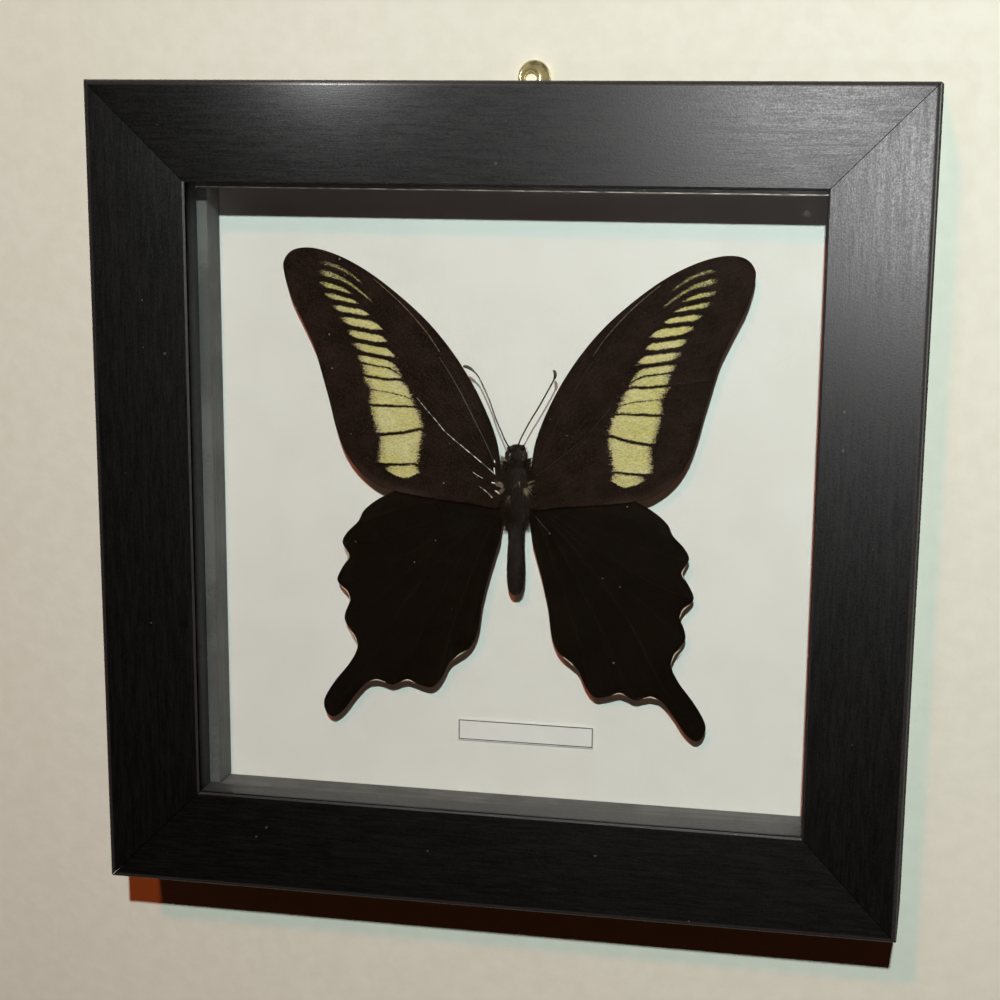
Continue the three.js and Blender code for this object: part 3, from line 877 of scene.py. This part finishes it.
forewingScales = makeWingMaterial("forewingScales", True)
hindwingScales = makeWingMaterial("hindwingScales", False)
foreSheet = wingSheet(forewingEdge)
hindSheet = wingSheet(hindwingEdge)
for side in ("left", "right"):
    makeWingPiece("forewing", foreSheet, forewingEdge, forewingVeins, side, forewingScales)
    makeWingPiece("hindwing", hindSheet, hindwingEdge, hindwingVeins, side, hindwingScales)
bpy.data.meshes.remove(foreSheet)
bpy.data.meshes.remove(hindSheet)
print("made the wings")


bodyPlan = {
    "profile": [
        (0.0, -22.8), (0.8, -22.55), (1.4, -21.8), (1.8, -20.6), (2.0, -18.6), (2.05, -16.5), (1.95, -14),
        (1.85, -11.5), (1.8, -9), (1.8, -6.8), (2.2, -5.2), (2.75, -3), (3.0, -0.6), (3.05, 1.6), (2.85, 3.6),
        (2.35, 5.2), (1.9, 6.1), (1.95, 6.9), (2.15, 8.2), (2.1, 9.6), (1.6, 10.7), (0.8, 11.2), (0.0, 11.3),
    ],
    "flatness": 0.93,
    "turns": 40,
    "rings": (-21.4, -19.3, -17.2, -15, -12.8, -10.6, -8.4),  # where the abdomen's segments meet
    "ringDepth": 0.13,
    "eyeRadius": 1.15,
}


bodyLook = {
    "dark": colour(0.007, 0.0056, 0.0046), "brown": colour(0.0145, 0.0118, 0.0095),
    "worn": colour(0.042, 0.038, 0.032), "tip": colour(0.06, 0.042, 0.028),
}


def makeBodyMaterial():
    material, tree, surface, output, place = newMaterial("bodyScales")
    look = bodyLook
    cloud = noiseOf(place, 900.0, 3.0)
    grain = noiseOf(place, 5200.0, 2.0, 0.75)
    base = blend(ramp(cloud, 0.35, 0.65), look["dark"], look["brown"])
    base = blend(ramp(grain, 0.55, 0.8, 0.0, 0.5), base, look["worn"])
    tip = ramp(split(place)[2], thorax.z - 22.9 * mm, thorax.z - 21.4 * mm, 0.7, 0.0)
    feed(surface, Base_Color=blend(tip, base, look["tip"]), Roughness=0.62, Specular_IOR_Level=0.04)
    bumpInto(surface, grain, 0.6, 0.00008)
    thinShadow(surface, output, wingLook["shadowTint"])
    return material


def makeEyeMaterial():
    material, tree, surface, output, place = newMaterial("compoundEye")
    facets = put(tree, "TexVoronoi", Vector=place, Scale=9000.0).outputs["Distance"]
    base = blend(facets, colour(0.03, 0.022, 0.015), colour(0.012, 0.008, 0.006))
    feed(surface, Base_Color=base, Roughness=0.16)
    bumpInto(surface, facets, 0.25, 0.00002)
    return material


bodyScales = makeBodyMaterial()
eyeFacets = makeEyeMaterial()


def finishBodyPart(name, bm, materials):
    # from millimetres about the middle of the thorax to its place in the frame
    bmesh.ops.scale(bm, verts=bm.verts, vec=(mm, mm, mm))
    bmesh.ops.translate(bm, verts=bm.verts, vec=thorax)
    return finishPiece(name, bm, materials)


def makeBody():
    plan = bodyPlan
    bm = bmesh.new()
    line = smoothLine([(r, z) for r, z in plan["profile"]], 3)
    rim = []
    for p in line:
        inset = sum(plan["ringDepth"] * math.exp(-((p.y - ring) / 0.16) ** 2) for ring in plan["rings"])
        rim.append(bm.verts.new((max(p.x - inset, 0.0), 0, p.y)))
    edges = [bm.edges.new(pair) for pair in zip(rim[:-1], rim[1:])]
    bmesh.ops.spin(bm, geom=rim + edges, cent=(0, 0, 0), axis=(0, 0, 1), angle=2 * math.pi,
                   steps=plan["turns"], use_merge=True)
    bmesh.ops.remove_doubles(bm, verts=bm.verts, dist=1e-4)
    for v in bm.verts:
        v.co.y *= plan["flatness"]
        rough = noise.noise(v.co * 1.3) * (0.16 if v.co.z > -6 else 0.05)
        v.co += Vector((v.co.x, v.co.y, 0)) * rough * 0.5
    bmesh.ops.recalc_face_normals(bm, faces=bm.faces)
    for sign in (-1, 1):
        place = Matrix.Translation((sign * 1.5, -0.7, 8.8)) @ Matrix.Diagonal((0.92, 0.95, 1.2, 1))
        eye = bmesh.ops.create_uvsphere(bm, u_segments=24, v_segments=16, radius=plan["eyeRadius"],
                                        matrix=place)
        paintFaces(eye, 1)
        # the right palp stands higher than the left
        top = 11.2 if sign > 0 else 10.8
        palp = [(sign * 0.8, -1.0, 9.9), (sign * 1.3, -1.2, top - 0.5), (sign * 1.9, -1.1, top)]
        addTube(bm, smoothLine(palp, 3), [0.35, 0.45, 0.5, 0.5, 0.48, 0.4, 0.2], 8)
    return finishBodyPart("butterfly_body_shell", bm, [bodyScales, eyeFacets])


standFor(makeBody(), "body_hair", "butterfly_body")

# Each patch of hair: how many, between which heights, how long, how far each hair leans off the skin, whether
# it leans up or down, and how far round from the front it grows, in half turns. The collar closes the gap
# between the neck and the wing roots.
hairPatches = [
    (3600, (-5.5, 6.5), (0.8, 2.3), 0.62, -1, (0, 0.62)),
    (900, (-21.5, -5.5), (0.3, 0.6), 0.92, -1, (0, 0.62)),
    (520, (6.2, 10.6), (0.3, 0.9), 0.45, 0.6, (0, 0.62)),
    (1900, (1.5, 8.0), (1.1, 2.4), 0.34, 0.7, (0.34, 0.56)),
]
hairThickness = {"dark": 0.035, "tuft": 0.0525}  # mm, at the root


def profileRadius(z):
    points = bodyPlan["profile"]
    return float(np.interp(z, [p[1] for p in points], [p[0] for p in points]))


def addHair(bm, foot, heading, length, radius, materialIndex):
    turn = heading.to_track_quat("Z", "Y").to_matrix().to_4x4()
    place = Matrix.Translation(foot + heading.normalized() * length / 2) @ turn
    made = bmesh.ops.create_cone(bm, cap_ends=False, segments=3, radius1=radius, radius2=radius * 0.12,
                                 depth=length, matrix=place)
    if materialIndex:
        paintFaces(made, materialIndex)


def makeHairMaterial(name, dark, pale, roughness):
    material, tree, surface, output, place = newMaterial(name)
    tone = ramp(noiseOf(place, 2600.0, 2.0), 0.35, 0.7)
    feed(surface, Base_Color=blend(tone, dark, pale), Roughness=roughness, Specular_IOR_Level=0.06)
    thinShadow(surface, output, wingLook["shadowTint"])
    return material


darkHair = makeHairMaterial("darkHair", colour(0.006, 0.004, 0.0026), colour(0.027, 0.0175, 0.0115), 0.45)
paleHair = makeHairMaterial("paleTuft", colour(0.2, 0.17, 0.105), colour(0.42, 0.38, 0.26), 0.6)

# pale tufts on the thorax: x, z and radius in mm
paleTufts = [(-2.6, 2.1, 0.5), (2.2, 1.9, 0.5), (2.5, 2.9, 0.2), (-1.1, 0.2, 0.3), (0.9, 3.4, 0.35),
             (-2.2, 7.6, 0.45)]


def makeHair():
    bm = bmesh.new()
    for count, heights, lengths, lean, rise, around in hairPatches:
        for _ in range(count):
            z = random.uniform(*heights)
            angle = random.uniform(*around) * random.choice((-1, 1)) * math.pi - math.pi / 2
            radius = profileRadius(z) * 0.97
            outward = Vector((math.cos(angle), math.sin(angle) * bodyPlan["flatness"], 0))
            foot = Vector((outward.x * radius, outward.y * radius, z))
            back = Vector((random.gauss(0, 0.3), random.gauss(0, 0.15), rise))
            heading = outward * (1 - lean) + back * lean
            length = random.uniform(*lengths)
            tuft = any((foot.x - x) ** 2 + (z - tz) ** 2 < r * r for x, tz, r in paleTufts)
            addHair(bm, foot, heading, length, hairThickness["tuft" if tuft else "dark"], int(tuft))
    return finishBodyPart("butterfly_body_hair", bm, [darkHair, paleHair])


standFor(makeHair(), "body_hair")
print("made the body and its hair")


# Veins that stand out: thickness at root and tip in mm, which finish they wear, and their course.
costalVein = (0.06, 0.09, "gold", [(17, 31.2), (20, 35.5), (25, 41), (29.5, 45), (31.5, 46.6)])
forewingRods = {
    "left": [
        costalVein,
        (0.1, 0.05, "paintedGlint", [(4.6, 4.6), (5.8, 5.6), (10, 9), (14, 12.2), (16, 14), (18, 16.4), (20, 18.6),
                              (22, 21)]),
        (0.07, 0.05, "paintedGlint", [(7.3, 3.6), (8.5, 4.2), (9.7, 5)]),
        (0.14, 0.1, "bit", [(4.75, 7.2), (4.8, 7.8)]),
        (0.14, 0.11, "bit", [(4.75, 4.9), (4.85, 6.1)]),
        (0.13, 0.1, "bit", [(4.6, 2.6), (5.4, 2.75)]),
        (0.16, 0.12, "bit", [(3.6, 0.3), (4.2, 0.75), (4.6, 0.95)]),
        (0.1, 0.06, "paintedGlint", [(5.2, -0.7), (6.0, 0.2), (7.2, 1.2), (8.2, 1.8)]),
        (0.07, 0.06, "bit", [(15.9, 2.1), (16.1, 2.3)]),
        (0.1, 0.05, "horn", [(4.4, 6.5), (8, 14), (13, 23.6), (17, 30)]),
    ],
    "right": [
        costalVein,
        (0.1, 0.04, "horn", [(4.6, 4.6), (9, 8), (14, 12.2), (18, 16.4), (21, 20)]),
        (0.1, 0.05, "horn", [(4.4, 6.5), (8, 14), (13, 23.6), (17, 30)]),
    ],
}
hindwingRods = {
    "left": [
        (0.06, 0.05, "bit", [(17.9, -11.1), (18.1, -10.9)]),
        (0.06, 0.05, "bit", [(22.7, -16.3), (22.9, -16.1)]),
        (0.05, 0.05, "bit", [(36.1, -12.3), (36.3, -12.1)]),
    ],
    "right": [
        (0.035, 0.025, "gold", [(4.4, -4.6), (6.2, -6.6), (7.6, -8.0)]),
        (0.06, 0.05, "bit", [(7.6, -8.1), (7.8, -8.3)]),
        (0.05, 0.05, "bit", [(19.9, -17.8), (20.1, -17.6)]),
        (0.05, 0.05, "bit", [(23.9, -19.5), (24.1, -19.3)]),
    ],
}
# Pale crescents of fringe in the bays of the hind wing: the first, the deepest and the last point.
hindwingBays = [
    ((38.7, -13.9), (37.85, -15.7), (38.6, -17.2)),
    ((39.9, -22.6), (38.3, -23.9), (37.5, -25.9)),
    ((38.2, -32.6), (36.7, -34.1), (35.9, -36.4)),
    ((33.2, -44.6), (31.4, -44.15), (29.6, -44.7)),
    ((26.0, -44.3), (24.4, -43.7), (22.6, -44.3)),
    ((13.9, -38.2), (12.5, -37.0), (10.8, -35.9)),
]


def makeVeinMaterial(name, dark, pale):
    material, tree, surface, output, place = newMaterial(name)
    tone = noiseOf(place, 1500.0, 2.0)
    base = blend(ramp(tone, 0.42, 0.62), dark, pale)
    feed(surface, Base_Color=base, Roughness=0.3, Specular_IOR_Level=0.5)
    bumpInto(surface, tone, 0.3, 0.00002)
    thinShadow(surface, output, colour(0.4, 0.45, 0.45))
    return material


veinHorn = makeVeinMaterial("veinHorn", colour(0.004, 0.003, 0.0022), colour(0.016, 0.012, 0.008))
# painted glint: near-white lines on the left forewing's root veins stand in for their highlights
veinPaintedGlint = makeVeinMaterial("veinPaintedGlint", colour(0.02, 0.016, 0.012), colour(0.85, 0.82, 0.76))
veinGold = makeVeinMaterial("veinGold", colour(0.03, 0.02, 0.012), colour(0.2, 0.15, 0.085))
scaleBit = makeVeinMaterial("paleBits", colour(0.82, 0.8, 0.75), colour(0.95, 0.94, 0.9))
veinFinish = {"horn": 0, "paintedGlint": 2, "gold": 3, "bit": 4}
fringeHair = makeHairMaterial("fringe", colour(0.52, 0.42, 0.30), colour(0.75, 0.68, 0.52), 0.7)


def wingPoint(x, z, side, y):
    sign = sideSign[side]
    out = rootX + (x - rootX) * wingSpread[side] if x > rootX else x
    return Vector((thorax.x + sign * out * mm, y, thorax.z + z * mm))


def makeTrim(side, wing, rods, bays):
    bm = bmesh.new()
    membrane = bpy.data.objects[wing + "_membrane_" + side]
    finder = [v.co.copy() for v in membrane.data.vertices]
    tree = kdtree.KDTree(len(finder))
    for i, co in enumerate(finder):
        tree.insert((co.x, 0, co.z), i)
    tree.balance()

    def onMembrane(x, z):
        flat = wingPoint(x, z, side, 0)
        near = tree.find_n((flat.x, 0, flat.z), 4)
        return Vector((flat.x, min(finder[i].y for _, i, _ in near), flat.z))

    for rootSize, tipSize, finish, course in rods:
        line = [onMembrane(p.x, p.y) for p in smoothLine(course, 5)]
        sizes = [(rootSize + (tipSize - rootSize) * i / (len(line) - 1)) * mm for i in range(len(line))]
        addTube(bm, line, sizes, 8, veinFinish[finish])
    for start, middle, end in bays:
        line = [onMembrane(p.x, p.y) for p in smoothLine([start, middle, end], 5)]
        last = len(line) - 1
        sizes = [0.15 * mm * max(math.sin(math.pi * i / last), 0.12) for i in range(len(line))]
        addTube(bm, line, sizes, 6, 1)
    piece = finishPiece(wing + "_veins_" + side, bm, [veinHorn, fringeHair, veinPaintedGlint, veinGold, scaleBit])
    standFor(piece, "wing_scales")


for side in ("left", "right"):
    makeTrim(side, "forewing", forewingRods[side], [])
    makeTrim(side, "hindwing", hindwingRods[side], hindwingBays)
print("made the veins and fringes")


# Courses from the head to the tip, x and z in mm from the middle of the thorax.
antennaRoutes = {
    "left": [(-0.9, 10.6), (-1.8, 11.4), (-3.1, 14.2), (-4.4, 17.1), (-5.5, 20.1), (-6.7, 22.9), (-8.2, 25.9),
             (-9.3, 27.2), (-10.5, 28.0), (-11.7, 28.3)],
    "right": [(0.4, 10.8), (0.8, 11.9), (2.0, 14.4), (3.4, 17), (4.9, 19.5), (6.3, 22), (7.6, 24.4),
              (8.4, 26), (8.7, 27), (8.4, 28.0)],
}
antennaPlan = {"stalk": 0.16, "club": 0.36, "clubFrom": 0.78}


def makeAntenna(side):
    low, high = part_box("antenna_" + side)
    depth = (low.y + high.y) / 2
    line = smoothLine([(x, z) for x, z in antennaRoutes[side]], 6)
    stalk, clubSize, clubFrom = (antennaPlan[k] for k in ("stalk", "club", "clubFrom"))
    bm = bmesh.new()
    places = []
    sizes = []
    last = len(line) - 1
    for i, p in enumerate(line):
        share = i / last
        rise = max(0.0, 1 - share * 6)  # the foot bends down to the head
        places.append(Vector((thorax.x + p.x * mm, depth + rise * 0.9 * mm, thorax.z + p.y * mm)))
        swell = min(max((share - clubFrom) / (1 - clubFrom), 0), 1)
        club = math.sin(math.pi * min(swell * 0.9 + 0.02, 1)) ** 0.7 if swell > 0 else 0
        joint = 0.008 * (i % 2)
        sizes.append((stalk + (clubSize - stalk) * club + joint) * mm)
    addTube(bm, places, sizes, 10)
    standFor(finishPiece("antenna_stalk_" + side, bm, [veinHorn]), "body_hair", "antenna_" + side)


for side in ("left", "right"):
    makeAntenna(side)
print("made the antennae")


stagePlan = {
    "wallGap": 0.25,  # mm
    "wallSize": 1.6, "floorDrop": 0.32, "floorSize": 1.9,  # metres
    "key": {"place": (140, -880, 540), "aim": (125, 0, 215), "size": 0.022, "watts": 2.62, "spread": 90},
    "warm": {"place": (-150, -1500, 1100), "aim": (0, 0, 90), "size": 0.12, "watts": 6.8, "spread": 180},
    "back": {"place": (-450, 1150, 620), "aim": (0, 0, 90), "size": 0.9, "watts": 16.0, "spread": 180},
    "flank": {"place": (1150, 600, 350), "aim": (0, 0, 90), "size": 0.5, "watts": 9.0, "spread": 180},
    "sheen": {"place": (63, -120, 162), "watts": 1.0},
    "glint": {"place": (-42, -40, 186), "watts": 0.12},
}


def makeWall():
    material, tree, surface, output, place = newMaterial("wallPaint")
    bumps = noiseOf(place, 260.0, 4.0)
    base = blend(ramp(bumps, 0.3, 0.7), colour(0.70, 0.685, 0.605), colour(0.73, 0.715, 0.64))
    feed(surface, Base_Color=base, Roughness=0.9)
    bumpInto(surface, bumps, 0.3, 0.0004)
    # seen only from the front, and no bar to the light behind it
    behind = put(tree, "NewGeometry").outputs["Backfacing"]
    away = larger(behind, put(tree, "LightPath").outputs["Is Shadow Ray"])
    mixInto(output, away, surface, put(tree, "BsdfTransparent"))
    bm = bmesh.new()
    wallY = cadBox[1].y + stagePlan["wallGap"] * mm
    turn = Matrix.Rotation(math.pi / 2, 4, "X")
    bmesh.ops.create_grid(bm, x_segments=1, y_segments=1, size=stagePlan["wallSize"] / 2,
                          matrix=Matrix.Translation((0, wallY, 0.3)) @ turn)
    return finishPiece("stage_wall", bm, [material], smooth=False)


def makeFloor():
    material, tree, surface, output, place = newMaterial("paleFloor")
    base = blend(noiseOf(place, 60.0), colour(0.17, 0.17, 0.165), colour(0.2, 0.2, 0.195))
    # an even tone of its own keeps the floor plain under the coloured lamps
    feed(surface, Base_Color=base, Roughness=0.8)
    feed(surface, Emission_Color=colour(0.56, 0.555, 0.54), Emission_Strength=0.8)
    bm = bmesh.new()
    bmesh.ops.create_grid(bm, x_segments=1, y_segments=1, size=stagePlan["floorSize"] / 2,
                          matrix=Matrix.Translation((0, 0, -stagePlan["floorDrop"])))
    return finishPiece("stage_floor", bm, [material], smooth=False)


def addLamp(name, kind, tint=(1.0, 1.0, 1.0), diffuse=True, glossy=True):
    plan = stagePlan[name]
    data = bpy.data.lights.new(name, kind)
    data.energy = plan["watts"]
    data.color = tint
    lamp = bpy.data.objects.new(name, data)
    lamp.location = Vector(plan["place"]) * mm
    if kind == "AREA":
        data.shape = "DISK"
        data.size = plan["size"]
        data.spread = math.radians(plan["spread"])
        heading = Vector(plan["aim"]) * mm - lamp.location
        lamp.rotation_euler = heading.to_track_quat("-Z", "Y").to_euler()
    else:
        data.shadow_soft_size = 0.0
    lamp.visible_diffuse = diffuse
    lamp.visible_glossy = glossy
    scene.collection.objects.link(lamp)


def makeWorld():
    world = bpy.data.worlds.new("room")
    world.use_nodes = True
    tree = world.node_tree
    tree.nodes.clear()
    dim = put(tree, "Background", Color=colour(1.0, 0.30, 0.12), Strength=0.018)
    pale = put(tree, "Background", Color=colour(0.80, 0.79, 0.77), Strength=0.85)
    seen = put(tree, "LightPath").outputs["Is Camera Ray"]
    mixed = put(tree, "MixShader", Fac=seen, in1=dim.outputs[0], in2=pale.outputs[0])
    put(tree, "OutputWorld", Surface=mixed.outputs[0])
    scene.world = world


floor = makeFloor()
floor.visible_diffuse = False
floor.visible_glossy = False
makeWall()
addLamp("key", "AREA", (0.86, 1.0, 0.955), glossy=False)
addLamp("warm", "AREA", (1.0, 0.165, 0.032), glossy=False)
addLamp("back", "AREA", (1.0, 0.98, 0.95))
addLamp("flank", "AREA", (1.0, 0.98, 0.95))
# bare points close to the frame, which only show as a gleam on what is not mirror smooth
addLamp("sheen", "POINT", diffuse=False)
addLamp("glint", "POINT", diffuse=False)
makeWorld()
scene.view_settings.view_transform = "Standard"
scene.view_settings.look = "None"
print("set the stage and the lights")
